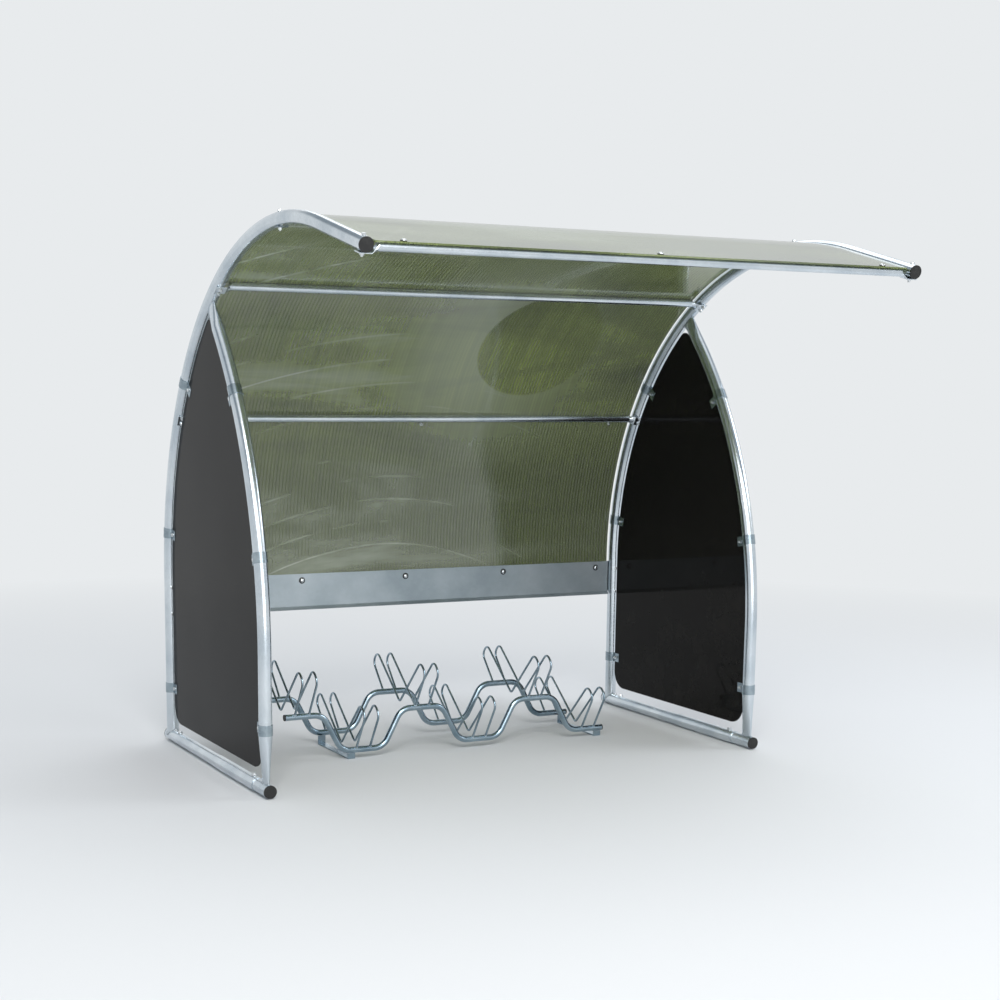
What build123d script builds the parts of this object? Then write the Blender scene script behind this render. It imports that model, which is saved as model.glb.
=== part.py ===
from build123d import *
import math
import os

os.makedirs("parts", exist_ok=True)

# Bike shelter: two curved side frames of galvanised tube, joined by three crossbars
# and a folded rear rail, with one clear sheet over the back and roof, a tinted panel
# in each side, and a two-level cycle rack standing inside.
# X runs along the shelter, Y towards its back, Z up. The origin is the centre of the
# footprint, on the ground. Sizes are in millimetres and degrees.

# Side frames
frame_spacing = 2150.0      # between the axes of the two hoops
tube_d = 50.0
tube_wall = 2.0
leg_height = 700.0          # where the hoop's straight leg starts to bend
bend_radius = 1350.0        # centre line of the hoop
bend_angle = 103.5
nose_length = 375.0         # straight, falling end of the hoop
cap_flange = 4.0
cap_plug = 18.0
cap_wall = 1.5

# Base tubes and their anchor bolts
base_front = 1155.0         # ahead of the leg's axis
base_tail = 40.0            # behind the leg's axis
sleeve_wall = 2.5
sleeve_rear = 590.0
sleeve_front = 1030.0
anchor_front = 985.0
anchor_rear = 95.0
anchor_r = 6.0

# Front struts
strut_reach = 1112.0        # ahead of the leg's axis
strut_straight = 513.0
strut_radius = 1750.0
strut_angle = 42.5
pinch_width = 14.0          # thickness of a flattened tube end, across the frame
foot_depth = 62.0           # width of the foot's flattened end, along the frame
head_depth = 78.0           # and of the head's
foot_pinch = 165.0          # over which the foot goes from round to flat
head_pinch = 140.0

# Crossbars
bar_d = 30.0
bar_wall = 1.5
bar_drop = 8.0              # axis inside the hoop's centre line
bar_angles = [29.0, 59.0]   # round the bend, measured up from the leg
bar_round = 1025.0          # half the length that keeps its round section
tongue_t = 4.0
tongue_w = 42.0
tongue_start = 1050.0
tongue_end = 1092.0
edge_bar_back = 24.0        # front bar, back from the end of the hoop
seat_gap = 0.2

# Rear rail
rail_top = 684.0
rail_bottom = 530.0
rail_t = 2.0
rail_lip = 20.0
rail_half = 1046.0
joggle_end = 1058.0
rail_end = 1092.0

# Clear sheet
sheet_t = 6.0
sheet_half = 1041.0
sheet_bottom = 640.0

# Side panels
panel_t = 5.0
panel_gap = 12.0            # from the tubes' surface to the panel's edge
panel_bottom = 92.0
panel_corner = 80.0
panel_apex = 40.0

# Clips that hold the panels
clip_t = 2.0
clip_h = 40.0
clip_tab_end = 74.0         # from the tube's axis to the tab's free edge
clip_slack = 0.2
hoop_clip_height = 232.0
hoop_clip_angles = [7.7, 36.0]      # round the bend, up from the leg
strut_clip_height = 250.0
strut_clip_angles = [12.0, 33.0]    # round the bend, up from the foot

# Clips that hold the sheet's edges under the hoops
hanger_angle = 88.0
hanger_t = 3.0
hanger_w = 32.0
hanger_inner = 1008.0
hanger_outer = 1090.0

# Cycle rack
rack_x = -85.0
rack_tube_d = 25.0
rack_tube_wall = 2.0
rack_pitch = 264.0
rack_slots = 6
rack_front = 630.0          # ahead of the leg's axis
rack_rear = 313.0
rack_low = 36.0             # height of a low run's axis, front tube
rack_rise = 154.0           # from a low run to a high run
rack_rear_lift = 14.0       # rear tube above the front one
rack_corner = 92.0          # from a run's middle to the corner of its bend
rack_bend = 65.0
rack_tail = 70.0            # from the last run's middle to the tube's end
wire_d = 9.0
wire_spacing = 60.0         # between the two wires of a slot
wire_hairpin = 30.0
wire_valley = 16.0
foot_w = 32.0
foot_t = 5.0
foot_offset = 50.0          # outwards from the middle of a low run

# Places worked out from the sizes above
half = frame_spacing / 2
tube_r = tube_d / 2
bar_r = bar_d / 2
base_axis = tube_r + sleeve_wall
bend = math.radians(bend_angle)
nose_reach = bend_radius * (1 - math.cos(bend)) + nose_length * math.sin(bend)
nose_height = leg_height + bend_radius * math.sin(bend) + nose_length * math.cos(bend)
nose_tip = nose_reach + cap_flange * math.sin(bend) - tube_r * math.cos(bend)
depth = nose_tip + base_tail + cap_flange
leg_y = depth / 2 - base_tail - cap_flange
arc_y = leg_y - bend_radius
strut_y = leg_y - strut_reach
SIDES = [("left", -1), ("right", 1)]


def hoop_point(angle, radius):
    """A point on a circle about the hoop's bend centre, as (y, z)."""
    a = math.radians(angle)
    return (arc_y + radius * math.cos(a), leg_height + radius * math.sin(a))


def hoop_frame(x, angle, radius, along=0.0):
    """A plane across X: its x axis points out of the hoop, its y axis along it."""
    a = math.radians(angle)
    y, z = hoop_point(angle, radius)
    y = y - along * math.sin(a)
    z = z + along * math.cos(a)
    out = (0, math.cos(a), math.sin(a))
    return Plane(origin=(x, y, z), x_dir=out, z_dir=(1, 0, 0))


# Hoops: leg, bend and falling nose in one tube, its foot saddle-cut to the base tube.
for side, s in SIDES:
    x = s * half
    with BuildPart() as hoop:
        with BuildLine(Plane.YZ.offset(x)) as hoop_path:
            leg = Line((leg_y, base_axis), (leg_y, leg_height))
            arc = JernArc(start=leg @ 1, tangent=leg % 1, radius=bend_radius, arc_size=bend_angle)
            Line(arc @ 1, arc @ 1 + (arc % 1) * nose_length)
        with BuildSketch(Plane.XY.offset(base_axis)):
            with Locations((x, leg_y)):
                Circle(tube_r)
                Circle(tube_r - tube_wall, mode=Mode.SUBTRACT)
        sweep(path=hoop_path.line)
        with Locations((x, leg_y, base_axis)):
            Cylinder(tube_r, 3 * tube_d, rotation=(90, 0, 0), mode=Mode.SUBTRACT)
    hoop.part.label = f"{side}_hoop"
    export_step(hoop.part, f"parts/{side}_hoop.step")

# Struts: a straight foot, a long bend back to the hoop, both ends pressed flat.
lean = math.radians(strut_angle)
strut_bend_end = (
    strut_y + strut_radius * (1 - math.cos(lean)),
    strut_straight + strut_radius * math.sin(lean),
)
for side, s in SIDES:
    x = s * half
    foot_top = base_axis + foot_pinch + tube_r
    head = Plane(
        origin=(x, strut_bend_end[0], strut_bend_end[1]),
        x_dir=(1, 0, 0),
        z_dir=(0, math.sin(lean), math.cos(lean)),
    )
    with BuildPart() as strut:
        with BuildLine(Plane.YZ.offset(x)) as strut_path:
            foot = Line((strut_y, foot_top), (strut_y, strut_straight))
            JernArc(start=foot @ 1, tangent=foot % 1, radius=strut_radius, arc_size=-strut_angle)
        with BuildSketch(Plane.XY.offset(foot_top)):
            with Locations((x, strut_y)):
                Circle(tube_r)
                Circle(tube_r - tube_wall, mode=Mode.SUBTRACT)
        sweep(path=strut_path.line)
        for shrink, how in ((0.0, Mode.ADD), (tube_wall, Mode.SUBTRACT)):
            with BuildSketch(Plane.XY.offset(foot_top)):
                with Locations((x, strut_y)):
                    Circle(tube_r - shrink)
            with BuildSketch(Plane.XY.offset(base_axis)):
                with Locations((x, strut_y)):
                    Ellipse(pinch_width / 2 - shrink, foot_depth / 2 - shrink)
            loft(mode=how)
            with BuildSketch(head):
                Circle(tube_r - shrink)
            with BuildSketch(head.offset(head_pinch)):
                Ellipse(pinch_width / 2 - shrink, head_depth / 2 - shrink)
            loft(mode=how)
        with Locations((x, strut_y, base_axis)):
            Cylinder(tube_r, 3 * tube_d, rotation=(90, 0, 0), mode=Mode.SUBTRACT)
        with Locations((x, arc_y, leg_height)):
            Torus(bend_radius, tube_r, rotation=(0, 90, 0), mode=Mode.SUBTRACT)
    strut.part.label = f"{side}_strut"
    export_step(strut.part, f"parts/{side}_strut.step")

# Base tubes, drilled for the anchor bolts. They rest on the ground by their sleeves.
for side, s in SIDES:
    x = s * half
    with BuildPart() as base_tube:
        with BuildSketch(Plane.XZ.offset(-leg_y - base_tail)):
            with Locations((x, base_axis)):
                Circle(tube_r)
                Circle(tube_r - tube_wall, mode=Mode.SUBTRACT)
        extrude(amount=base_front + base_tail)
        with Locations((x, leg_y - anchor_front, base_axis), (x, leg_y - anchor_rear, base_axis)):
            Cylinder(anchor_r, 2 * tube_d, mode=Mode.SUBTRACT)
    base_tube.part.label = f"{side}_base_tube"
    export_step(base_tube.part, f"parts/{side}_base_tube.step")

    with BuildPart() as sleeve:
        with BuildSketch(Plane.XZ.offset(-leg_y + sleeve_rear)):
            with Locations((x, base_axis)):
                Circle(tube_r + sleeve_wall)
                Circle(tube_r, mode=Mode.SUBTRACT)
        extrude(amount=sleeve_front - sleeve_rear)
        with Locations((x, leg_y - anchor_front, base_axis)):
            Cylinder(anchor_r, 2 * tube_d, mode=Mode.SUBTRACT)
    sleeve.part.label = f"{side}_base_sleeve"
    export_step(sleeve.part, f"parts/{side}_base_sleeve.step")

# Plastic end caps: four on the base tubes, two on the hoops' noses.
with BuildPart() as base_caps:
    for side, s in SIDES:
        for y, outward in ((leg_y - base_front, -1), (leg_y + base_tail, 1)):
            face = Plane(origin=(s * half, y, base_axis), x_dir=(1, 0, 0), z_dir=(0, outward, 0))
            with BuildSketch(face):
                Circle(tube_r)
            extrude(amount=cap_flange)
            with BuildSketch(face):
                Circle(tube_r - tube_wall)
                Circle(tube_r - tube_wall - cap_wall, mode=Mode.SUBTRACT)
            extrude(amount=-cap_plug)
base_caps.part.label = "base_caps"
export_step(base_caps.part, "parts/base_caps.step")

with BuildPart() as nose_caps:
    for side, s in SIDES:
        face = Plane(
            origin=(s * half, leg_y - nose_reach, nose_height),
            x_dir=(1, 0, 0),
            z_dir=(0, -math.sin(bend), math.cos(bend)),
        )
        with BuildSketch(face):
            Circle(tube_r)
        extrude(amount=cap_flange)
        with BuildSketch(face):
            Circle(tube_r - tube_wall)
            Circle(tube_r - tube_wall - cap_wall, mode=Mode.SUBTRACT)
        extrude(amount=-cap_plug)
nose_caps.part.label = "nose_caps"
export_step(nose_caps.part, "parts/nose_caps.step")

# Crossbars: round tube whose pressed ends drop under the hoops and are bolted there.
bar_axis = bend_radius - bar_drop
tongue_axis = bend_radius - tube_r - seat_gap - tongue_t / 2
bars = [
    ("mid_crossbar", bar_angles[0], 0.0),
    ("upper_crossbar", bar_angles[1], 0.0),
    ("front_crossbar", bend_angle, nose_length - edge_bar_back),
]
for name, angle, along in bars:
    with BuildPart() as bar:
        with BuildSketch(hoop_frame(-bar_round, angle, bar_axis, along)):
            Circle(bar_r)
            Circle(bar_r - bar_wall, mode=Mode.SUBTRACT)
        extrude(amount=2 * bar_round)
        for s in (-1, 1):
            with BuildSketch(hoop_frame(s * bar_round, angle, bar_axis, along)):
                Circle(bar_r)
            with BuildSketch(hoop_frame(s * tongue_start, angle, tongue_axis, along)):
                SlotOverall(tongue_w, tongue_t, rotation=90)
            loft()
            with BuildSketch(hoop_frame(s * tongue_start, angle, tongue_axis, along)):
                SlotOverall(tongue_w, tongue_t, rotation=90)
            extrude(amount=s * (tongue_end - tongue_start))
    bar.part.label = name
    export_step(bar.part, f"parts/{name}.step")

# Clear sheet: up the back, round the bend, down to the front crossbar.
sheet_in = bar_axis + bar_r
with BuildPart() as roof_sheet:
    with BuildLine(Plane.YZ.offset(-sheet_half)) as sheet_path:
        rise = Line((arc_y + sheet_in, sheet_bottom), (arc_y + sheet_in, leg_height))
        over = JernArc(start=rise @ 1, tangent=rise % 1, radius=sheet_in, arc_size=bend_angle)
        Line(over @ 1, over @ 1 + (over % 1) * (nose_length - edge_bar_back + bar_r))
    with BuildSketch(Plane.XY.offset(sheet_bottom)):
        with Locations((-sheet_half, arc_y + sheet_in)):
            Rectangle(2 * sheet_half, sheet_t, align=(Align.MIN, Align.MIN))
    sweep(path=sheet_path.line)
roof_sheet.part.label = "roof_sheet"
export_step(roof_sheet.part, "parts/roof_sheet.step")

# Rear rail: folded strip in front of the sheet's lower edge, joggled behind the legs.
rail_face = arc_y + sheet_in
lip = rail_lip * math.sin(math.radians(45))
with BuildPart() as rear_rail:
    with BuildSketch(Plane.XY.offset(rail_bottom + lip)):
        with BuildLine():
            back = [
                (-rail_end, leg_y + tube_r + rail_t),
                (-joggle_end, leg_y + tube_r + rail_t),
                (-rail_half, rail_face),
                (rail_half, rail_face),
                (joggle_end, leg_y + tube_r + rail_t),
                (rail_end, leg_y + tube_r + rail_t),
            ]
            Polyline(*back)
            front = [(bx, by - rail_t) for bx, by in reversed(back)]
            Polyline(*front)
            Line(back[-1], front[0])
            Line(front[-1], back[0])
        make_face()
    extrude(amount=rail_top - rail_bottom - lip)
    for s in (-1, 1):
        with Locations((s * (joggle_end + rail_end) / 2, leg_y + tube_r + rail_t / 2, rail_bottom)):
            Box(
                rail_end - joggle_end,
                rail_t,
                lip,
                align=(Align.CENTER, Align.CENTER, Align.MIN),
            )
    with BuildSketch(Plane.YZ.offset(-rail_half)):
        with BuildLine():
            Polyline(
                (rail_face, rail_bottom + lip),
                (rail_face - rail_t, rail_bottom + lip),
                (rail_face - rail_t - lip, rail_bottom + rail_t),
                (rail_face - lip, rail_bottom),
                close=True,
            )
        make_face()
    extrude(amount=2 * rail_half)
rear_rail.part.label = "rear_rail"
export_step(rear_rail.part, "parts/rear_rail.step")

# Side panels: tinted sheet that follows the leg, the bend and the strut at one gap.
panel_rear = leg_y - tube_r - panel_gap
panel_front = strut_y + tube_r + panel_gap
hoop_in = bend_radius - tube_r - panel_gap
strut_in = strut_radius - tube_r - panel_gap
strut_centre = (strut_y + strut_radius, strut_straight)
span = math.dist(strut_centre, (arc_y, leg_height))
to_y = (arc_y - strut_centre[0]) / span
to_z = (leg_height - strut_centre[1]) / span
foot_of = (strut_in**2 - hoop_in**2 + span**2) / (2 * span)
rise_of = math.sqrt(strut_in**2 - foot_of**2)
apex = (
    strut_centre[0] + foot_of * to_y + rise_of * to_z,
    strut_centre[1] + foot_of * to_z - rise_of * to_y,
)
for side, s in SIDES:
    with BuildPart() as panel:
        with BuildSketch(Plane.YZ.offset(s * half)) as outline:
            with BuildLine():
                front_edge = Line((panel_front, panel_bottom), (panel_front, strut_straight))
                TangentArc(front_edge @ 1, apex, tangent=front_edge % 1)
                rear_edge = Line((panel_rear, panel_bottom), (panel_rear, leg_height))
                TangentArc(rear_edge @ 1, apex, tangent=rear_edge % 1)
                Line(front_edge @ 0, rear_edge @ 0)
            make_face()
            fillet(outline.vertices().group_by(Axis.Y)[0], panel_corner)
            fillet(outline.vertices().group_by(Axis.Y)[-1], panel_apex)
        extrude(amount=panel_t / 2, both=True)
    panel.part.label = f"{side}_side_panel"
    export_step(panel.part, f"parts/{side}_side_panel.step")

# Panel clips: a strap round the tube whose two ends grip the panel between them.
for side, s in SIDES:
    x = s * half
    hoop_seats = [Plane(origin=(x, leg_y, hoop_clip_height), x_dir=(0, -1, 0), z_dir=(0, 0, 1))]
    for angle in hoop_clip_angles:
        a = math.radians(angle)
        hoop_seats.append(
            Plane(
                origin=(x, *hoop_point(angle, bend_radius)),
                x_dir=(0, -math.cos(a), -math.sin(a)),
                z_dir=(0, -math.sin(a), math.cos(a)),
            )
        )
    strut_seats = [Plane(origin=(x, strut_y, strut_clip_height), x_dir=(0, 1, 0), z_dir=(0, 0, 1))]
    for angle in strut_clip_angles:
        a = math.radians(angle)
        strut_seats.append(
            Plane(
                origin=(
                    x,
                    strut_centre[0] - strut_radius * math.cos(a),
                    strut_centre[1] + strut_radius * math.sin(a),
                ),
                x_dir=(0, math.cos(a), -math.sin(a)),
                z_dir=(0, math.sin(a), math.cos(a)),
            )
        )
    for carrier, seats in (("hoop", hoop_seats), ("strut", strut_seats)):
        with BuildPart() as clips:
            for seat in seats:
                with BuildSketch(seat.offset(-clip_h / 2)):
                    Circle(tube_r + clip_slack + clip_t)
                    with Locations((0, panel_t / 2 + clip_t / 2), (0, -panel_t / 2 - clip_t / 2)):
                        Rectangle(clip_tab_end, clip_t, align=(Align.MIN, Align.CENTER))
                    Circle(tube_r + clip_slack, mode=Mode.SUBTRACT)
                extrude(amount=clip_h)
        clips.part.label = f"{side}_{carrier}_clips"
        export_step(clips.part, f"parts/{side}_{carrier}_clips.step")

# Sheet clips: cranked strips from under each hoop's crown to under the sheet's edge.
with BuildPart() as sheet_clips:
    for s in (-1, 1):
        low = bend_radius - tube_r - seat_gap - hanger_t
        high = sheet_in - seat_gap - hanger_t
        outline = [
            (s * hanger_outer, low),
            (s * (sheet_half + 12), low),
            (s * (sheet_half - 1), high),
            (s * hanger_inner, high),
            (s * hanger_inner, high + hanger_t),
            (s * (sheet_half + 1), high + hanger_t),
            (s * (sheet_half + 14), low + hanger_t),
            (s * hanger_outer, low + hanger_t),
        ]
        a = math.radians(hanger_angle)
        crown = Plane(
            origin=(0, arc_y, leg_height),
            x_dir=(1, 0, 0),
            z_dir=(0, -math.sin(a), math.cos(a)),
        )
        with BuildSketch(crown):
            with BuildLine():
                Polyline(*outline, close=True)
            make_face()
        extrude(amount=hanger_w / 2, both=True)
sheet_clips.part.label = "sheet_clips"
export_step(sheet_clips.part, "parts/sheet_clips.step")

# Cycle rack: two tubes bent in the same wave, high and low runs in turn.
rack_r = rack_tube_d / 2
front_y = leg_y - rack_front
rear_y = leg_y - rack_rear
run_x = [rack_x + (i - (rack_slots - 1) / 2) * rack_pitch for i in range(rack_slots)]
run_rise = [rack_rise if i % 2 == 0 else 0.0 for i in range(rack_slots)]
tubes = [
    ("rack_front_tube", front_y, rack_low),
    ("rack_rear_tube", rear_y, rack_low + rack_rear_lift),
]
for name, y, low in tubes:
    corners = [(run_x[0] - rack_tail, low + run_rise[0])]
    for i in range(rack_slots - 1):
        corners.append((run_x[i] + rack_corner, low + run_rise[i]))
        corners.append((run_x[i + 1] - rack_corner, low + run_rise[i + 1]))
    corners.append((run_x[-1] + rack_tail, low + run_rise[-1]))
    with BuildPart() as wave:
        with BuildLine(Plane.XZ.offset(-y)) as wave_path:
            FilletPolyline(*corners, radius=rack_bend)
        with BuildSketch(Plane.YZ.offset(corners[0][0])):
            with Locations((y, corners[0][1])):
                Circle(rack_r)
                Circle(rack_r - rack_tube_wall, mode=Mode.SUBTRACT)
        sweep(path=wave_path.line)
    wave.part.label = name
    export_step(wave.part, f"parts/{name}.step")

with BuildPart() as rack_caps:
    for name, y, low in tubes:
        for x, z, outward in (
            (run_x[0] - rack_tail, low + run_rise[0], -1),
            (run_x[-1] + rack_tail, low + run_rise[-1], 1),
        ):
            with BuildSketch(Plane.YZ.offset(x)):
                with Locations((y, z)):
                    Circle(rack_r)
            extrude(amount=outward * cap_flange)
            with BuildSketch(Plane.YZ.offset(x)):
                with Locations((y, z)):
                    Circle(rack_r - rack_tube_wall)
                    Circle(rack_r - rack_tube_wall - cap_wall, mode=Mode.SUBTRACT)
            extrude(amount=-outward * cap_plug)
rack_caps.part.label = "rack_caps"
export_step(rack_caps.part, "parts/rack_caps.step")

# Wheel holders: in each slot two bent wires, from the rear tube up round a hairpin,
# down to a valley that takes the tyre, up round the front hairpin, to the front tube.
# Each point is (distance ahead of the rear tube, height above the tubes' mean level).
reach = rack_front - rack_rear
lift = rack_rear_lift / 2
wire_route = [
    (0.0, lift),
    (-107.0, 122.0),
    (-65.0, 170.0),
    (166.0, -8.0),
    (reach + 50.0, 189.0),
    (reach + 98.0, 147.0),
    (reach, -lift),
]
wire_bends = [wire_hairpin, wire_hairpin, wire_valley, wire_hairpin, wire_hairpin]
for i in range(rack_slots):
    level = rack_low + lift + run_rise[i]
    points = [(rear_y - ahead, level + up) for ahead, up in wire_route]
    with BuildPart() as holder:
        for offset in (-wire_spacing / 2, wire_spacing / 2):
            x = run_x[i] + offset
            with BuildLine(Plane.YZ.offset(x)) as wire_path:
                FilletPolyline(*points, radius=wire_bends)
            with BuildSketch(Plane(origin=wire_path.line @ 0, z_dir=wire_path.line % 0)):
                Circle(wire_d / 2)
            sweep(path=wire_path.line)
        for name, y, low in tubes:
            with Locations((run_x[i], y, low + run_rise[i])):
                Cylinder(rack_r, 4 * wire_spacing, rotation=(0, 90, 0), mode=Mode.SUBTRACT)
    holder.part.label = f"wheel_holder_{i + 1}"
    export_step(holder.part, f"parts/wheel_holder_{i + 1}.step")

# Rack feet: flat bar bent up at both ends, under the outermost low runs.
with BuildPart() as rack_feet:
    for x in (run_x[1] - foot_offset, run_x[-1] + foot_offset):
        with BuildSketch(Plane.YZ.offset(x)):
            with BuildLine():
                Polyline(
                    (rear_y + foot_t / 2, rack_low + rack_rear_lift - rack_r),
                    (rear_y + foot_t / 2, 0),
                    (front_y - foot_t / 2, 0),
                    (front_y - foot_t / 2, rack_low - rack_r),
                    (front_y + foot_t / 2, rack_low - rack_r),
                    (front_y + foot_t / 2, foot_t),
                    (rear_y - foot_t / 2, foot_t),
                    (rear_y - foot_t / 2, rack_low + rack_rear_lift - rack_r),
                    close=True,
                )
            make_face()
        extrude(amount=foot_w / 2, both=True)
rack_feet.part.label = "rack_feet"
export_step(rack_feet.part, "parts/rack_feet.step")
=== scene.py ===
# %% [markdown]
# # A bike shelter in galvanised tube
# This lesson dresses a finished CAD model of a bike shelter. The CAD part brings every
# tube, bar, panel and clip at its real size. Blender adds what a drawing leaves out: the
# zinc's crystal pattern, the flutes of the roof sheet, the bolts, the welds and the light.
# The CAD objects are never moved or reshaped, so the part stays true to its sizes.

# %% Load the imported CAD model
import math
import bmesh
import bpy
from mathutils import Matrix, Vector


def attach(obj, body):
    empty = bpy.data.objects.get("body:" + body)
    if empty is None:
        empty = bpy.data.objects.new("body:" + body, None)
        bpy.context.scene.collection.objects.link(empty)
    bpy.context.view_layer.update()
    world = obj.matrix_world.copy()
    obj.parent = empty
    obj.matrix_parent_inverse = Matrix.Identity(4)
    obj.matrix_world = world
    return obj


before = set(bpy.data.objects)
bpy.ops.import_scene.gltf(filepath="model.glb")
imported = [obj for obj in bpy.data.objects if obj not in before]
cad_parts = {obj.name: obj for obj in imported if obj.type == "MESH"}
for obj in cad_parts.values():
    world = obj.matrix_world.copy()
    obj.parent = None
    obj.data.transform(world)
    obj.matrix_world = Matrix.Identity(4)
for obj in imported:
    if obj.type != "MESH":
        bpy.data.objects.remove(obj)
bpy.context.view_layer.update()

# %% [markdown]
# ## Sizes shared with the CAD
# The fasteners, welds and flutes sit on CAD surfaces, so their places come from the same
# few numbers as the CAD: the hoop is a leg, one large bend and a straight nose. All sizes
# are in millimetres here and become metres in one place, when a mesh is made.

# %% Name the sizes and find points round the hoop
MM = 0.001
HALF = 1075.0                  # from the middle to a side frame
TUBE_R = 25.0
LEG_Y = 997.758                # axis of the legs
STRUT_Y = -114.242             # axis of the struts' straight feet
ARC = (-352.242, 700.0)        # centre of the hoop's bend, as (y, z)
BEND_R = 1350.0
BEND_ANGLE = 103.5
NOSE = 375.0
STRUT_R = 1750.0
STRUT_ARC = (STRUT_Y + STRUT_R, 513.0)
BASE_Z = 27.5                  # axis of the base tubes
SHEET_IN = 1357.0              # radius of the roof sheet's inner face
SHEET_T = 6.0
BAR_ANGLES = (29.0, 59.0)      # places of two crossbars round the bend
FRONT_BAR = NOSE - 24.0        # place of the front one along the nose


def round_hoop(angle, radius, along=0.0):
    """(y, z) at an angle round the hoop's bend, then a distance straight on."""
    a = math.radians(angle)
    return (
        ARC[0] + radius * math.cos(a) - along * math.sin(a),
        ARC[1] + radius * math.sin(a) + along * math.cos(a),
    )


def outward(angle):
    """The direction from the bend's centre to the hoop."""
    a = math.radians(angle)
    return Vector((0, math.cos(a), math.sin(a)))


print("the hoop's crown is at", [round(v) for v in round_hoop(90, BEND_R)])

# %% [markdown]
# ## The camera first
# The photograph was taken with a fairly long lens from the shelter's front left, at about
# head height. The picture is a crop, so the lens axis isn't in its middle: that is what
# the two shift values say. Setting the camera first means that every later look at the
# model can be laid over the photograph.

# %% Place the camera
SENSOR = 36.0                  # millimetres
PICTURE = 1000.0               # pixels
FOCAL_PX = 1783.94
AXIS_PX = (508.0, 690.0)       # where the lens axis meets the picture
CAMERA_PLACE = (-3.307, -6.164, 1.541)
CAMERA_TURNS = (-28.128, 10.023, 0.809)
turn, tilt, roll = (math.radians(v) for v in CAMERA_TURNS)

camera_data = bpy.data.cameras.new("photo_camera")
camera_data.sensor_width = SENSOR
camera_data.lens = FOCAL_PX * SENSOR / PICTURE
camera_data.shift_x = (PICTURE / 2 - AXIS_PX[0]) / PICTURE
camera_data.shift_y = (AXIS_PX[1] - PICTURE / 2) / PICTURE
camera = bpy.data.objects.new("photo_camera", camera_data)
bpy.context.scene.collection.objects.link(camera)
forward = Vector((-math.sin(turn) * math.cos(tilt), math.cos(turn) * math.cos(tilt),
                  -math.sin(tilt)))
level = forward.cross(Vector((0, 0, 1))).normalized()
above = level.cross(forward)
right = level * math.cos(roll) + above * math.sin(roll)
up = above * math.cos(roll) - level * math.sin(roll)
attitude = Matrix((right, up, -forward)).transposed().to_4x4()
camera.matrix_world = Matrix.Translation(CAMERA_PLACE) @ attitude
bpy.context.scene.camera = camera
bpy.context.scene.view_settings.view_transform = "Standard"
print("lens", round(camera_data.lens, 1), "mm, shift", camera_data.shift_x, camera_data.shift_y)

# %% [markdown]
# ## One helper for nodes, one for colours
# Every material and every Geometry Nodes tree is a list of nodes with settings and links.
# One function adds a node of any kind, so a tree reads as a plain list. A socket is named,
# or numbered where a node has several of one name. The numbers of Map Range, which turns
# one range of values into another, and of Mix have names of their own below. Where a Map
# Range gives no range, it is 0 to 1. Colours are written as on a paint card, in hex, and
# one function turns them to the linear values that the renderer works with.

# %% Add a node, and read a hex colour
VALUE, FROM_LOW, FROM_HIGH, TO_LOW, TO_HIGH = range(5)
FACTOR, COLOUR_A, COLOUR_B = 0, 6, 7
MIXED = 2                      # a colour Mix node's output


def linear(hex_colour):
    """A hex colour as (r, g, b, 1) in linear light."""
    channels = []
    for i in (1, 3, 5):
        v = int(hex_colour[i:i + 2], 16) / 255
        channels.append(v / 12.92 if v <= 0.04045 else ((v + 0.055) / 1.055) ** 2.4)
    return (*channels, 1.0)


def add(tree, kind, sockets=None, **settings):
    """Adds a node, sets it up, and fills its sockets with values, hex colours or links."""
    node = tree.nodes.new(kind)
    for name, value in settings.items():
        setattr(node, name, value)
    for name, value in (sockets or {}).items():
        if isinstance(value, bpy.types.NodeSocket):
            tree.links.new(value, node.inputs[name])
        elif isinstance(value, str) and value.startswith("#"):
            node.inputs[name].default_value = linear(value)
        else:
            node.inputs[name].default_value = value
    return node


def new_material(name):
    """A new material: itself, its tree, its surface shader and Object coordinates."""
    material = bpy.data.materials.new(name)
    material.use_nodes = True
    tree = material.node_tree
    shader = tree.nodes["Principled BSDF"]
    place = add(tree, "ShaderNodeTexCoord").outputs["Object"]
    print("finish:", name)
    return material, tree, shader, place


print("zinc grey in linear light:", [round(v, 3) for v in linear("#B4BCC2")])

# %% [markdown]
# ## Hot-dip galvanised steel
# The frame was welded, then dipped in molten zinc. The zinc freezes in crystals a few
# millimetres across, called spangle, that differ a little in brightness and in gloss. The
# coat runs and thickens in soft streaks, and it is a bright blue grey. So the colour has
# cells for the crystals and a slow cloud for the streaks, the roughness follows both, and
# a faint bump stands for the skin of the zinc. The steps are kept small, because from a
# few metres away fresh zinc on tube looks smooth.

# %% Make the galvanised finishes
SKIN_MM = 14.0                 # from one soft rise of the zinc's skin to the next
SKIN_DEEP_MM = 0.2


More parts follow.
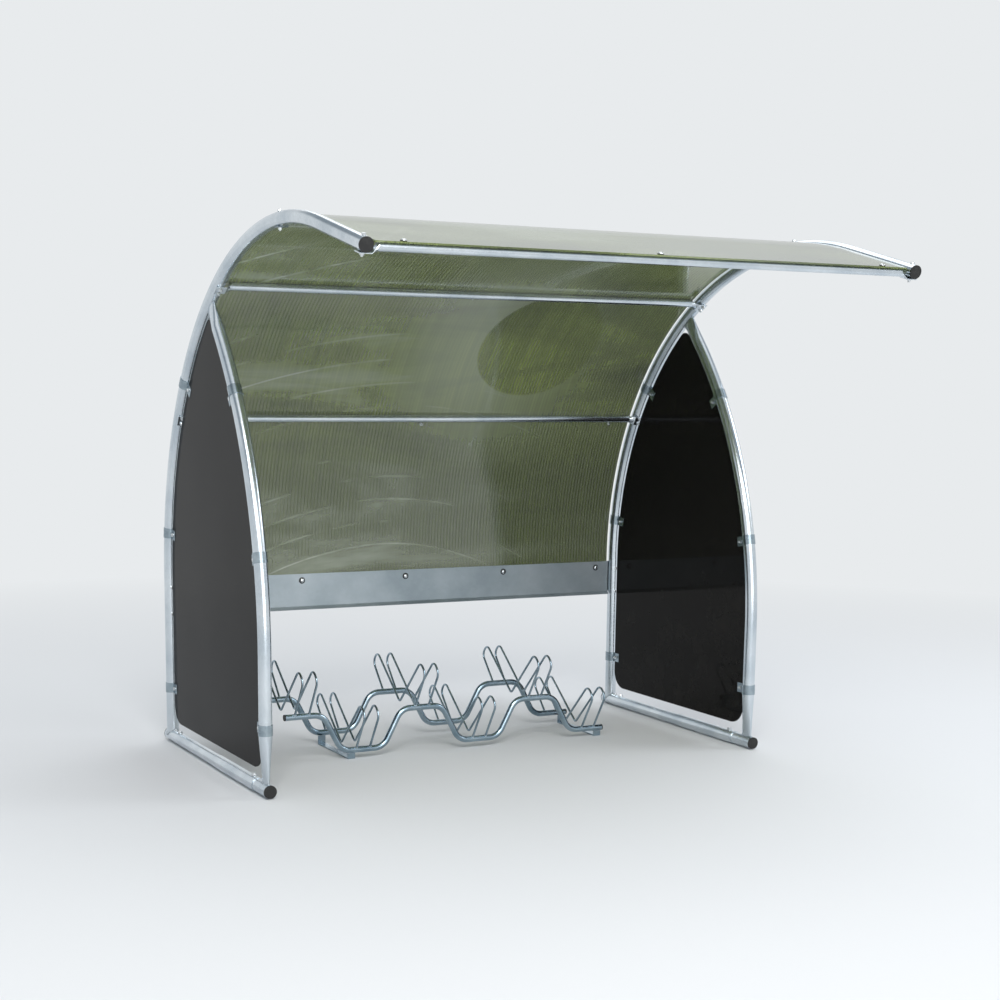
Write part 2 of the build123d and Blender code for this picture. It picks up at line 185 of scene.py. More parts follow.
def galvanised(name, bright, dull, spangle_mm, gloss, streak_mm=160.0, metal_share=1.0):
    """Zinc on steel, with crystals and streaks of a real size in millimetres."""
    material, tree, shader, place = new_material(name)
    crystals = add(tree, "ShaderNodeTexVoronoi", {
        "Vector": place, "Scale": 1 / (spangle_mm * MM)})
    crystal = add(tree, "ShaderNodeSeparateColor", {
        "Color": crystals.outputs["Color"]}).outputs["Red"]
    clouds = add(tree, "ShaderNodeTexNoise", {
        "Vector": place, "Scale": 1 / (streak_mm * MM), "Detail": 3.0, "Roughness": 0.5})
    cloud = add(tree, "ShaderNodeMapRange", {
        VALUE: clouds.outputs["Fac"], FROM_LOW: 0.32, FROM_HIGH: 0.68}).outputs[0]
    coat = add(tree, "ShaderNodeMix", {
        FACTOR: cloud, COLOUR_A: bright, COLOUR_B: dull}, data_type="RGBA").outputs[MIXED]
    shine = add(tree, "ShaderNodeMapRange", {
        VALUE: crystal, TO_LOW: 0.95, TO_HIGH: 1.0}).outputs[0]
    grey = add(tree, "ShaderNodeCombineColor", {0: shine, 1: shine, 2: shine}).outputs[0]
    colour = add(tree, "ShaderNodeMix", {FACTOR: 1.0, COLOUR_A: coat, COLOUR_B: grey},
                 data_type="RGBA", blend_type="MULTIPLY")
    tree.links.new(colour.outputs[MIXED], shader.inputs["Base Color"])
    crystal_gloss = add(tree, "ShaderNodeMapRange", {
        VALUE: crystal, TO_LOW: gloss - 0.01, TO_HIGH: gloss + 0.01}).outputs[0]
    cloud_gloss = add(tree, "ShaderNodeMapRange", {
        VALUE: cloud, TO_LOW: -0.02, TO_HIGH: 0.03}).outputs[0]
    rough = add(tree, "ShaderNodeMath", {0: crystal_gloss, 1: cloud_gloss})
    tree.links.new(rough.outputs[0], shader.inputs["Roughness"])
    skin = add(tree, "ShaderNodeTexNoise", {
        "Vector": place, "Scale": 1 / (SKIN_MM * MM), "Detail": 2.0})
    bump = add(tree, "ShaderNodeBump", {
        "Height": skin.outputs["Fac"], "Strength": 0.06, "Distance": SKIN_DEEP_MM * MM})
    tree.links.new(bump.outputs["Normal"], shader.inputs["Normal"])
    shader.inputs["Metallic"].default_value = metal_share
    return material


frame_zinc = galvanised("hot_dip_galvanised_tube", "#DAE1E6", "#C1CBD3", 9.0, 0.22)
# The rack has the same zinc; its darker, bluer grey is a painted reflection of the sky and
# ground that its tubes mirror.
rack_zinc = galvanised("hot_dip_galvanised_rack", "#A8B9C4", "#8196A3", 8.0, 0.22, 90.0)
rail_zinc = galvanised("galvanised_sheet_steel", "#B2BCC2", "#9AA6AD", 14.0, 0.5, 220.0,
                       metal_share=0.7)
clip_zinc = galvanised("zinc_plated_clips", "#A9B6BD", "#8E9CA5", 4.0, 0.24, 40.0)
fastener_zinc = galvanised("bright_zinc_plated_fasteners", "#E2E5E7", "#CCD1D4", 3.0, 0.24,
                           30.0)
weld_zinc = galvanised("galvanised_weld_bead", "#B7BFC4", "#98A2A9", 4.0, 0.42, 20.0)

# %% [markdown]
# ## Clear twin-wall polycarbonate
# The roof is clear sheet with two thin skins and webs between them, so light comes through
# while the view through it is blurred into soft colour with fine lines that follow the
# flutes. Out of doors it takes on the colour of what stands behind it, most of all low
# down. So its own colour here is an olive that deepens towards the rail, and one
# see-through share on the shader lets the studio shine in.
# Streaks are drawn out along the flutes. Over them lie a pale haze in diagonal patches,
# thin arcs where an arm swung a cloth, and one sharp-edged round place free of haze.

# %% Make the roof sheet's finish
FLUTE_MM = 15.0                # drawn coarser than the real 6 mm flutes, so that they show
STREAK_MM = 22.0
WAVE_TEXTURE = 2 * math.pi / 20        # length of one wave of that texture at scale 1
SWUNG_ROUND = (-0.1, -0.55)    # centre of the wiped arcs, as (x, z) in metres
SWING_STEP = 0.1               # metres from one arc to the next
CLEAN_PLACE = (0.44, 1.66)     # centre of the clean place, as (x, z) in metres
CLEAN_LEAN = 1.35              # the sheet leans there, so its height in z is this much less


def fluted_sheet(name, clear, shade, deep, hazy, see_share):
    """Clear sheet whose flutes lie side by side along X."""
    material, tree, shader, place = new_material(name)
    flutes = add(tree, "ShaderNodeTexWave", {
        "Vector": place, "Scale": WAVE_TEXTURE / (FLUTE_MM * MM)},
        wave_type="BANDS", bands_direction="X", wave_profile="SIN")
    drawn_out = add(tree, "ShaderNodeMapping", {
        "Vector": place, "Scale": (1 / (STREAK_MM * MM), 0.9, 0.9)})
    streaks = add(tree, "ShaderNodeTexNoise", {
        "Vector": drawn_out.outputs[0], "Scale": 1.0, "Detail": 4.0})
    streak = add(tree, "ShaderNodeMapRange", {
        VALUE: streaks.outputs["Fac"], FROM_LOW: 0.2, FROM_HIGH: 0.8}).outputs[0]
    soft = add(tree, "ShaderNodeMapRange", {
        VALUE: flutes.outputs["Fac"], TO_LOW: 0.55, TO_HIGH: 1.0}).outputs[0]
    line = add(tree, "ShaderNodeMath", {0: streak, 1: soft}, operation="MULTIPLY").outputs[0]
    lined = add(tree, "ShaderNodeMix", {
        FACTOR: line, COLOUR_A: shade, COLOUR_B: clear}, data_type="RGBA").outputs[MIXED]

    # The haze lies in patches, most on the left, and where it is thin the sheet looks deeper.
    turned_place = add(tree, "ShaderNodeMapping", {
        "Vector": place, "Rotation": (0.5, 0.35, 0.0), "Scale": (0.7, 1.6, 3.2)})
    hazes = add(tree, "ShaderNodeTexNoise", {
        "Vector": turned_place.outputs[0], "Scale": 1.1, "Detail": 5.0,
        "Roughness": 0.55, "Distortion": 0.8}).outputs["Fac"]
    axes = add(tree, "ShaderNodeSeparateXYZ", {"Vector": place}).outputs
    handled = add(tree, "ShaderNodeMapRange", {
        VALUE: axes["X"], FROM_LOW: -0.1, FROM_HIGH: 0.75,
        TO_LOW: 1.0, TO_HIGH: 0.12}).outputs[0]
    low_down = add(tree, "ShaderNodeMapRange", {
        VALUE: axes["Z"], FROM_LOW: 1.5, FROM_HIGH: 1.1, TO_HIGH: 0.75}).outputs[0]
    haze = add(tree, "ShaderNodeMapRange", {
        VALUE: hazes, FROM_LOW: 0.48, FROM_HIGH: 0.68, TO_HIGH: 0.6}).outputs[0]
    thin = add(tree, "ShaderNodeMapRange", {
        VALUE: hazes, FROM_LOW: 0.34, FROM_HIGH: 0.52, TO_LOW: 0.85, TO_HIGH: 0.0}).outputs[0]
    depth = add(tree, "ShaderNodeMath", {0: thin, 1: low_down}, operation="MAXIMUM").outputs[0]
    tinted = add(tree, "ShaderNodeMix", {
        FACTOR: depth, COLOUR_A: lined, COLOUR_B: deep}, data_type="RGBA").outputs[MIXED]

    # The cloth left arcs round one centre, and only where it was pressed on.
    from_wrist = add(tree, "ShaderNodeMapping", {
        "Vector": place, "Location": (-SWUNG_ROUND[0], 0.0, -SWUNG_ROUND[1])})
    arcs = add(tree, "ShaderNodeTexWave", {
        "Vector": from_wrist.outputs[0], "Scale": WAVE_TEXTURE / SWING_STEP,
        "Distortion": 1.2, "Detail": 1.0, "Detail Scale": 0.4},
        wave_type="RINGS", rings_direction="Y")
    arc = add(tree, "ShaderNodeMapRange", {
        VALUE: arcs.outputs["Fac"], FROM_LOW: 0.965, FROM_HIGH: 1.0, TO_HIGH: 0.9}).outputs[0]
    pressed = add(tree, "ShaderNodeMapRange", {
        VALUE: hazes, FROM_LOW: 0.46, FROM_HIGH: 0.6}).outputs[0]
    wipe = add(tree, "ShaderNodeMath", {0: arc, 1: pressed}, operation="MULTIPLY").outputs[0]

    # The round place has a sharp edge, with a pale rim round it that fades outwards.
    from_clean = add(tree, "ShaderNodeMapping", {
        "Vector": place, "Location": (-CLEAN_PLACE[0], 0.0, -CLEAN_LEAN * CLEAN_PLACE[1]),
        "Scale": (1.0, 0.0, CLEAN_LEAN)})
    reach = add(tree, "ShaderNodeVectorMath", {
        0: from_clean.outputs[0]}, operation="LENGTH").outputs["Value"]
    edge = add(tree, "ShaderNodeMapRange", {
        VALUE: reach, FROM_LOW: 0.265, FROM_HIGH: 0.285},
        interpolation_type="SMOOTHSTEP").outputs[0]
    fading = add(tree, "ShaderNodeMapRange", {
        VALUE: reach, FROM_LOW: 0.28, FROM_HIGH: 0.75, TO_LOW: 0.65, TO_HIGH: 0.0}).outputs[0]
    rim = add(tree, "ShaderNodeMath", {0: edge, 1: fading}, operation="MULTIPLY").outputs[0]

    dirt = add(tree, "ShaderNodeMath", {0: haze, 1: wipe}, operation="MAXIMUM").outputs[0]
    dirt_out = add(tree, "ShaderNodeMath", {0: dirt, 1: rim}, operation="MAXIMUM").outputs[0]
    kept = add(tree, "ShaderNodeMath", {0: edge, 1: handled}, operation="MULTIPLY").outputs[0]
    wiped = add(tree, "ShaderNodeMath", {0: dirt_out, 1: kept}, operation="MULTIPLY").outputs[0]
    colour = add(tree, "ShaderNodeMix", {
        FACTOR: wiped, COLOUR_A: tinted, COLOUR_B: hazy}, data_type="RGBA").outputs[MIXED]
    tree.links.new(colour, shader.inputs["Base Color"])
    rough = add(tree, "ShaderNodeMapRange", {
        VALUE: wiped, TO_LOW: 0.12, TO_HIGH: 0.34}).outputs[0]
    tree.links.new(rough, shader.inputs["Roughness"])
    bump = add(tree, "ShaderNodeBump", {
        "Height": flutes.outputs["Fac"], "Strength": 0.12, "Distance": 0.1 * MM})
    tree.links.new(bump.outputs["Normal"], shader.inputs["Normal"])
    shader.inputs["Alpha"].default_value = see_share
    shader.inputs["IOR"].default_value = 1.58
    shader.inputs["Coat Weight"].default_value = 1.0
    shader.inputs["Coat Roughness"].default_value = 0.05
    return material


roof_finish = fluted_sheet("clear_twinwall_polycarbonate", clear="#8C9A52", shade="#5F6D34",
                           deep="#3F4B22", hazy="#ADB6A4", see_share=0.77)

# %% [markdown]
# ## Smoked panel and black plastic
# The side panels are cast sheet, dyed a warm dark grey that is almost black. They are
# smooth, and slightly wavy, as thin sheet is when it hangs in clips. What they mirror is
# kept faint, because the studio is far brighter than an open yard. The end caps are
# moulded polyethylene: black, soft in gloss, with a faint moulded grain. The rubber
# washers under the screws and the webs inside the roof sheet share that plain recipe.

# %% Make the panel, cap, washer and web finishes
GRAIN_MM = 1.0


def smoked_sheet(name, dark, light, see_share):
    """Dark smooth sheet with a slow wave in its reflections and light dust low down."""
    material, tree, shader, place = new_material(name)
    height = add(tree, "ShaderNodeSeparateXYZ", {"Vector": place}).outputs["Z"]
    low = add(tree, "ShaderNodeMapRange", {
        VALUE: height, FROM_LOW: 0.1, FROM_HIGH: 0.9, TO_LOW: 1.0, TO_HIGH: 0.15}).outputs[0]
    dust = add(tree, "ShaderNodeTexNoise", {
        "Vector": place, "Scale": 9.0, "Detail": 8.0, "Roughness": 0.7})
    specks = add(tree, "ShaderNodeMapRange", {
        VALUE: dust.outputs["Fac"], FROM_LOW: 0.45, FROM_HIGH: 0.75, TO_HIGH: 0.5}).outputs[0]
    dusty = add(tree, "ShaderNodeMath", {0: specks, 1: low}, operation="MULTIPLY").outputs[0]
    colour = add(tree, "ShaderNodeMix", {
        FACTOR: dusty, COLOUR_A: dark, COLOUR_B: light}, data_type="RGBA").outputs[MIXED]
    tree.links.new(colour, shader.inputs["Base Color"])
    rough = add(tree, "ShaderNodeMapRange", {
        VALUE: dusty, FROM_HIGH: 0.5, TO_LOW: 0.05, TO_HIGH: 0.22}).outputs[0]
    tree.links.new(rough, shader.inputs["Roughness"])
    wave = add(tree, "ShaderNodeTexNoise", {"Vector": place, "Scale": 2.2, "Detail": 1.0})
    bump = add(tree, "ShaderNodeBump", {
        "Height": wave.outputs["Fac"], "Strength": 0.5, "Distance": 4.0 * MM})
    tree.links.new(bump.outputs["Normal"], shader.inputs["Normal"])
    shader.inputs["Alpha"].default_value = see_share
    shader.inputs["IOR"].default_value = 1.45
    shader.inputs["Specular IOR Level"].default_value = 0.06
    return material


def moulded_plastic(name, colour, worn):
    """Moulded or pressed-out plastic with a fine grain and paler rubbed places."""
    material, tree, shader, place = new_material(name)
    rub = add(tree, "ShaderNodeTexNoise", {"Vector": place, "Scale": 60.0, "Detail": 6.0})
    rubbed = add(tree, "ShaderNodeMapRange", {
        VALUE: rub.outputs["Fac"], FROM_LOW: 0.5, FROM_HIGH: 0.8}).outputs[0]
    blend = add(tree, "ShaderNodeMix", {
        FACTOR: rubbed, COLOUR_A: colour, COLOUR_B: worn}, data_type="RGBA").outputs[MIXED]
    tree.links.new(blend, shader.inputs["Base Color"])
    rough = add(tree, "ShaderNodeMapRange", {
        VALUE: rubbed, TO_LOW: 0.42, TO_HIGH: 0.62}).outputs[0]
    tree.links.new(rough, shader.inputs["Roughness"])
    grain = add(tree, "ShaderNodeTexNoise", {
        "Vector": place, "Scale": 1 / (GRAIN_MM * MM), "Detail": 2.0})
    bump = add(tree, "ShaderNodeBump", {
        "Height": grain.outputs["Fac"], "Strength": 0.2, "Distance": 0.1 * MM})
    tree.links.new(bump.outputs["Normal"], shader.inputs["Normal"])
    return material


panel_finish = smoked_sheet("smoked_acrylic_panel", "#1B1A19", "#2E2C29", 0.98)
cap_finish = moulded_plastic("moulded_black_polyethylene", "#141414", "#2C2C2B")
washer_finish = moulded_plastic("black_rubber_washer", "#1B1B1A", "#30302E")
web_finish = moulded_plastic("polycarbonate_webs", "#7E8A55", "#97A186")

# %% [markdown]
# ## Give the CAD nodes their finishes
# A CAD node keeps its shape and gets a better finish in its material slots. The rack, the
# clips, the sheets and the caps have finishes of their own, and the folded rail is rolled
# sheet with larger crystals. All that is left is the frame's tubes and bars.

# %% Dress the CAD nodes
DRESSED = (
    (rack_zinc, ("rack_front_tube", "rack_rear_tube", "rack_feet",
                 *(f"wheel_holder_{i}" for i in range(1, 7)))),
    (clip_zinc, ("sheet_clips", *(f"{side}_{tube}_clips" for side in ("left", "right")
                                  for tube in ("hoop", "strut")))),
    (rail_zinc, ("rear_rail",)),
    (roof_finish, ("roof_sheet",)),
    (panel_finish, ("left_side_panel", "right_side_panel")),
    (cap_finish, ("base_caps", "nose_caps", "rack_caps")),
)
finish_of = {name: finish for finish, names in DRESSED for name in names}
for name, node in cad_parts.items():
    for slot in node.material_slots:
        slot.material = finish_of.get(name, frame_zinc)
    node.data.update()
print("dressed", len(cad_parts), "nodes;", len(finish_of), "have a finish of their own")

# %% [markdown]
# ## From a Geometry Nodes tree to a finished piece
# Each tree below has named inputs for its sizes. The modifier's inputs are set by the
# sockets' identifiers, the evaluated shape becomes a plain mesh, and the modifier is
# removed, so the finished piece is a mesh at the origin that rides on the part's body.

# %% Build a tree, run it and keep the result


def new_tree(name, inputs):
    """A Geometry Nodes tree with named inputs: (tree, input node, output node)."""
    tree = bpy.data.node_groups.new(name, "GeometryNodeTree")
    sides = [("Geometry", "INPUT", "NodeSocketGeometry")]
    sides += [(label, "INPUT", kind) for label, kind in inputs]
    sides += [("Geometry", "OUTPUT", "NodeSocketGeometry")]
    for label, side, kind in sides:
        tree.interface.new_socket(name=label, in_out=side, socket_type=kind)
    return tree, add(tree, "NodeGroupInput"), add(tree, "NodeGroupOutput")


def close_tree(tree, group_in, group_out, geometry):
    """Ends a tree in Realize Instances and Set Material."""
    real = add(tree, "GeometryNodeRealizeInstances", {"Geometry": geometry})
    painted = add(tree, "GeometryNodeSetMaterial", {
        "Geometry": real.outputs["Geometry"], "Material": group_in.outputs["Material"]})
    tree.links.new(painted.outputs["Geometry"], group_out.inputs["Geometry"])
    print(tree.name, "has", len(tree.nodes), "nodes")


def plain_object(name, mesh):
    """An object for a mesh, in the scene, at the origin."""
    thing = bpy.data.objects.new(name, mesh)
    bpy.context.scene.collection.objects.link(thing)
    return thing


def run_tree(name, tree, start_mesh, material, values):
    """The tree's result on a start mesh, as a plain object that rides on the part."""
    thing = plain_object(name, start_mesh)
    modifier = thing.modifiers.new("nodes", "NODES")
    modifier.node_group = tree
    values = dict(values, Material=material)
    for item in tree.interface.items_tree:
        if item.in_out == "INPUT" and item.name in values:
            modifier[item.identifier] = values[item.name]
    depsgraph = bpy.context.evaluated_depsgraph_get()
    evaluated = thing.evaluated_get(depsgraph)
    result = bpy.data.meshes.new_from_object(evaluated, depsgraph=depsgraph)
    thing.modifiers.clear()
    thing.data = result
    result.name = name
    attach(thing, "root")
    print(name, len(result.polygons), "faces")
    return thing


# %% [markdown]
# ## Bolts, nuts and screws
# The clips, bars and rail are held by hexagon bolts of 8 mm, with a washer under the head
# and a nut on a washer behind, and the sheet by round-headed screws on rubber washers.
# Each is modelled once, in at most 242 faces, as a turned outline: a washer, a hexagon
# with a chamfered top, or a low dome. A Geometry Nodes tree then sets one on each point
# of a small mesh, facing the way that the point's own attribute says, each turned by a
# seeded random angle, because no fitter stops two bolts at the same angle.

# %% Turn the fasteners' outlines
CORNERS = 24                   # round each ring, four to a hexagon's side
SIXTH = math.pi / 3


def ring_reach(outline, size, angle):
    """How far a ring reaches at an angle: a circle's radius, or more at a hexagon's corner."""
    if outline == "round":
        return size
    return size / math.cos(angle % SIXTH - SIXTH / 2)


def fastener(name, rings):
    """A mesh object, kept out of the scene, from rings of (outline, size, height) in mm.

    A round ring's size is its radius, and a hexagon's is half its width across flats.
    """
    shape = bmesh.new()
    loops = []
    for outline, size, height in rings:
        loop = []
        for i in range(CORNERS):
            angle = 2 * math.pi * i / CORNERS
            reach = ring_reach(outline, size * MM, angle)
            loop.append(shape.verts.new(
                (reach * math.cos(angle), reach * math.sin(angle), height * MM)))
        loops.append(loop)
    for lower, higher in zip(loops, loops[1:]):
        for i in range(CORNERS):
            j = (i + 1) % CORNERS
            shape.faces.new((lower[i], lower[j], higher[j], higher[i]))
    shape.faces.new(loops[0][::-1])
    shape.faces.new(loops[-1])
    mesh = bpy.data.meshes.new(name)
    shape.to_mesh(mesh)
    shape.free()
    return bpy.data.objects.new(name, mesh)


hex_head = fastener("hex_head", [
    ("round", 8.0, 0.0), ("round", 8.0, 1.4), ("round", 7.6, 1.6), ("round", 6.7, 1.61),
    ("hexagon", 6.5, 1.62), ("hexagon", 6.5, 6.2), ("round", 6.3, 6.9), ("round", 5.6, 7.0)])
hex_nut = fastener("hex_nut", [
    ("round", 8.0, 0.0), ("round", 8.0, 1.4), ("round", 7.6, 1.6), ("round", 6.2, 1.62),
    ("hexagon", 6.5, 1.9), ("hexagon", 6.5, 7.6), ("round", 6.2, 8.2), ("round", 4.2, 8.3),
    ("round", 4.0, 8.4), ("round", 4.0, 12.0), ("round", 3.4, 12.6)])
round_head = fastener("round_head", [
    ("round", 8.5, 0.0), ("round", 8.3, 1.6), ("round", 7.2, 3.2), ("round", 5.2, 4.3),
    ("round", 2.6, 4.9), ("round", 0.6, 5.0)])
rubber_washer = fastener("rubber_washer", [
    ("round", 11.0, 0.0), ("round", 11.6, 0.8), ("round", 11.6, 1.6), ("round", 10.6, 2.2),
    ("round", 8.0, 2.3)])
anchor_head = fastener("anchor_head", [
    ("round", 12.0, 0.0), ("round", 12.0, 2.0), ("round", 11.6, 2.3), ("round", 8.6, 2.31),
    ("hexagon", 8.3, 2.32), ("hexagon", 8.3, 8.4), ("round", 8.0, 9.2), ("round", 7.2, 9.3)])
print("a hexagon head has", len(hex_head.data.polygons), "faces")

# %% [markdown]
# The tree that sets the fasteners has four named inputs: the fastener, its size, the seed
# of its turn and the finish. Turning about the fastener's own axis comes before facing it,
# so the random angle never tips a head off its seat. Random Value has sockets for three
# kinds of value, and those of a plain number are its socket 3, the largest, and output 1.

# %% Set fasteners on points
LARGEST, NUMBER = 3, 1
fasten_tree, fasten_in, fasten_out = new_tree("set_fasteners", [
    ("Fastener", "NodeSocketObject"), ("Size", "NodeSocketFloat"), ("Seed", "NodeSocketInt"),
    ("Material", "NodeSocketMaterial")])
facing = add(fasten_tree, "GeometryNodeInputNamedAttribute", {
    "Name": "facing"}, data_type="FLOAT_VECTOR")
faced = add(fasten_tree, "FunctionNodeAlignRotationToVector", {
    "Vector": facing.outputs["Attribute"]}, axis="Z")
spin = add(fasten_tree, "FunctionNodeRandomValue", {
    "Seed": fasten_in.outputs["Seed"], LARGEST: SIXTH}, data_type="FLOAT")
spin_vector = add(fasten_tree, "ShaderNodeCombineXYZ", {"Z": spin.outputs[NUMBER]})
spin_turn = add(fasten_tree, "FunctionNodeEulerToRotation", {
    "Euler": spin_vector.outputs["Vector"]})
seated = add(fasten_tree, "FunctionNodeRotateRotation", {
    "Rotation": faced.outputs["Rotation"], "Rotate By": spin_turn.outputs["Rotation"]},
    rotation_space="LOCAL")
model = add(fasten_tree, "GeometryNodeObjectInfo", {"Object": fasten_in.outputs["Fastener"]})
placed = add(fasten_tree, "GeometryNodeInstanceOnPoints", {
    "Points": fasten_in.outputs["Geometry"], "Instance": model.outputs["Geometry"],
    "Rotation": seated.outputs["Rotation"], "Scale": fasten_in.outputs["Size"]})
close_tree(fasten_tree, fasten_in, fasten_out, placed.outputs["Instances"])


def seats(name, places):
    """A mesh of points in metres, each with the way its fastener faces."""
    mesh = bpy.data.meshes.new(name)
    mesh.from_pydata([tuple(v * MM for v in place) for place, way in places], [], [])
    ways = mesh.attributes.new("facing", "FLOAT_VECTOR", "POINT")
    for i, (place, way) in enumerate(places):
        ways.data[i].vector = Vector(way).normalized()
    return mesh


def set_fasteners(name, model_object, places, material, seed, size=1.0):
    """One piece with a fastener on every place."""
    thing = run_tree(name, fasten_tree, seats(name, places), material,
                     {"Fastener": model_object, "Size": size, "Seed": seed})


# %% [markdown]
# ## Where the fasteners go
# The clips have one bolt each, through both tabs and the panel, 51 mm from the tube's
# axis. Each crossbar end has two bolts through the hoop, and the front bar's one. The rail
# has two through each leg. A cranked clip at the hoop's crown holds the sheet's edge, and
# each base tube has two ground anchors and one bolt.

# %% List the bolts and nuts of the side frames
SUNK = 0.4                     # how far a washer's flat face lies in the round of a tube
TAB_OUT = 4.5                  # from the panel's middle to a tab's outer face
CLIP_BOLT = 51.0
LEG_CLIP_Z, FOOT_CLIP_Z = 232.0, 250.0
HOOP_CLIPS, STRUT_CLIPS = (7.7, 36.0), (12.0, 33.0)    # angles round the bends
BAR_BOLT = 12.0                # from the bar's axis to each of its two bolts
BAR_END_T = 4.2                # the bar's pressed end, with its gap to the hoop
CROWN_CLIP, CROWN_CLIP_T = 88.0, 3.2                   # angle, thickness with its gap
CROWN_CLIP_X = 1022.0          # its bolt through the sheet's edge
RAIL_T = 2.0
RAIL_LEG_Z = (652.0, 543.0)    # the rail's bolts through the legs
SLEEVE_T = 2.5
REAR_BOLT, REAR_ANCHOR, FRONT_ANCHOR = 44.0, 95.0, 985.0       # ahead of the leg's axis
HOOP_OUTER = BEND_R + TUBE_R - SUNK
HOOP_INNER = BEND_R - TUBE_R
TOP = (0, 0, 1)

clip_places = [(LEG_Y - CLIP_BOLT, LEG_CLIP_Z)]
clip_places += [round_hoop(angle, BEND_R - CLIP_BOLT) for angle in HOOP_CLIPS]
clip_places += [(STRUT_Y + CLIP_BOLT, FOOT_CLIP_Z)]
for angle in STRUT_CLIPS:
    a = math.radians(angle)
    reach = STRUT_R - CLIP_BOLT
    clip_places.append((STRUT_ARC[0] - reach * math.cos(a), STRUT_ARC[1] + reach * math.sin(a)))

heads, nuts, rounds, rail_rounds, sheet_screws, anchors = [], [], [], [], [], []


def bolt_hoop(s, angle, along, hung, tops):
    """A bolt through the hoop, its nut under what hangs there with a thickness of hung."""
    tops.append(((s * HALF, *round_hoop(angle, HOOP_OUTER, along)), outward(angle)))
    nuts.append(((s * HALF, *round_hoop(angle, HOOP_INNER - hung, along)), -outward(angle)))


for s in (-1, 1):
    for y, z in clip_places:
        heads.append(((s * (HALF + TAB_OUT), y, z), (s, 0, 0)))
        nuts.append(((s * (HALF - TAB_OUT), y, z), (-s, 0, 0)))
    for angle in BAR_ANGLES:
        for along in (-BAR_BOLT, BAR_BOLT):
            bolt_hoop(s, angle, along, BAR_END_T, rounds)
    bolt_hoop(s, BEND_ANGLE, FRONT_BAR, BAR_END_T, heads)
    for z in RAIL_LEG_Z:
        heads.append(((s * HALF, LEG_Y - TUBE_R + SUNK, z), (0, -1, 0)))
        nuts.append(((s * HALF, LEG_Y + TUBE_R + RAIL_T, z), (0, 1, 0)))
    bolt_hoop(s, CROWN_CLIP, 0.0, CROWN_CLIP_T, heads)
    sheet_edge = round_hoop(CROWN_CLIP, SHEET_IN - CROWN_CLIP_T)
    nuts.append(((s * CROWN_CLIP_X, *sheet_edge), -outward(CROWN_CLIP)))
    base_top = BASE_Z + TUBE_R - SUNK
    anchors.append(((s * HALF, LEG_Y - REAR_ANCHOR, base_top), TOP))
    heads.append(((s * HALF, LEG_Y - REAR_BOLT, base_top), TOP))
    anchors.append(((s * HALF, LEG_Y - FRONT_ANCHOR, base_top + SLEEVE_T), TOP))
print(len(heads), "hexagon heads,", len(rounds), "round heads,", len(anchors), "anchors")

# %% [markdown]
# The sheet's screws stand in three rows across the roof, just below the two bars on the
# bend and over the front one, with nuts under the first two rows. A fourth row goes
# through its lower edge and the rail, with larger heads on the inside. A screw stands on
# its washer: its place is the washer's, lifted by a little less than a washer's height.

# %% List the sheet's screws and set every fastener
RAIL_SCREWS_X = (-980.0, -490.0, 0.0, 490.0, 980.0)
RAIL_SCREWS_Z = 656.0
BAR_SCREWS_X = (-940.0, 0.0, 940.0)
BELOW_BAR = math.degrees(33.0 / SHEET_IN)      # 33 mm round the bend, as an angle
ON_WASHER = 2.2                # height of a screw's seat on its washer
RAIL_SIZE = 1.2                # the rail's washers and screws are this much larger
ON_RAIL_WASHER = 2.6


def lifted(places, height):
    """The same places, moved on in the way that each one faces."""
    return [(tuple(v + height * w for v, w in zip(place, way)), way) for place, way in places]


for x in RAIL_SCREWS_X:
    rail_rounds.append(((x, ARC[0] + SHEET_IN - RAIL_T, RAIL_SCREWS_Z), (0, -1, 0)))
    sheet_screws.append(((x, ARC[0] + SHEET_IN + SHEET_T, RAIL_SCREWS_Z), (0, 1, 0)))
for angle in BAR_ANGLES:
    low, way = angle - BELOW_BAR, outward(angle)
    for x in BAR_SCREWS_X:
        sheet_screws.append(((x, *round_hoop(low, SHEET_IN + SHEET_T)), way))
        nuts.append(((x, *round_hoop(low, SHEET_IN)), -way))
for x in BAR_SCREWS_X:
    over_bar = round_hoop(BEND_ANGLE, SHEET_IN + SHEET_T, FRONT_BAR)
    sheet_screws.append(((x, *over_bar), outward(BEND_ANGLE)))

set_fasteners("hexagon_bolt_heads", hex_head, heads, fastener_zinc, 3)
set_fasteners("hexagon_nuts", hex_nut, nuts, fastener_zinc, 7)
set_fasteners("round_bolt_heads", round_head, rounds, fastener_zinc, 11)
set_fasteners("rail_washers", rubber_washer, rail_rounds, washer_finish, 19, RAIL_SIZE)
set_fasteners("rail_bolt_heads", round_head, lifted(rail_rounds, ON_RAIL_WASHER),
              fastener_zinc, 17, RAIL_SIZE)
set_fasteners("ground_anchor_heads", anchor_head, anchors, fastener_zinc, 5)
set_fasteners("sheet_washers", rubber_washer, sheet_screws, washer_finish, 2)
set_fasteners("sheet_screw_heads", round_head, lifted(sheet_screws, ON_WASHER),
              fastener_zinc, 13)

# %% [markdown]
# ## Welds
# A weld is a bead of melted steel that follows the seam, in small ripples where the
# welder's hand moved on, with zinc over it. The seam of a tube that meets a tube is a
# saddle curve, worked out point by point from the two sizes. A tree then turns each seam
# into a bead: it spaces points evenly along the curve, lets the radius swell and shrink
# with the distance, and sweeps a small circle along it.

